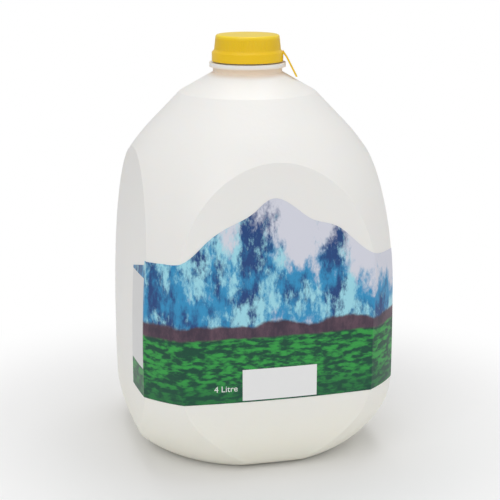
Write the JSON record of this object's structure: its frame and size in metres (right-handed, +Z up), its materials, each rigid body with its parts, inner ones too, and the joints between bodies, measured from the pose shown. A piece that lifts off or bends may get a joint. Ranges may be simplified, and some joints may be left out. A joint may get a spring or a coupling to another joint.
{
  "type": "plastic milk jug",
  "caption": "Plastic milk jug with rounded square body, moulded-in rear handle, snap cap with tear tab and wrapped picture label.",
  "frame": {"origin": "on the floor under the middle of the body's footprint", "axes": "+Z up along the neck, -Y towards the labelled front, handle at the +X +Y corner"},
  "size_m": [0.16, 0.1603, 0.256],
  "materials": {
    "jug_skin": "satin translucent blow-moulded polyethylene",
    "milk": "milk",
    "cap": "yellow moulded plastic",
    "tear_band": "yellow moulded plastic",
    "label": "printed film"
  },
  "bodies": {
    "root": {"jug": "jug_skin", "milk": "milk", "cap": "cap", "tear_band": "tear_band", "label": "label"}
  },
  "joints": []
}
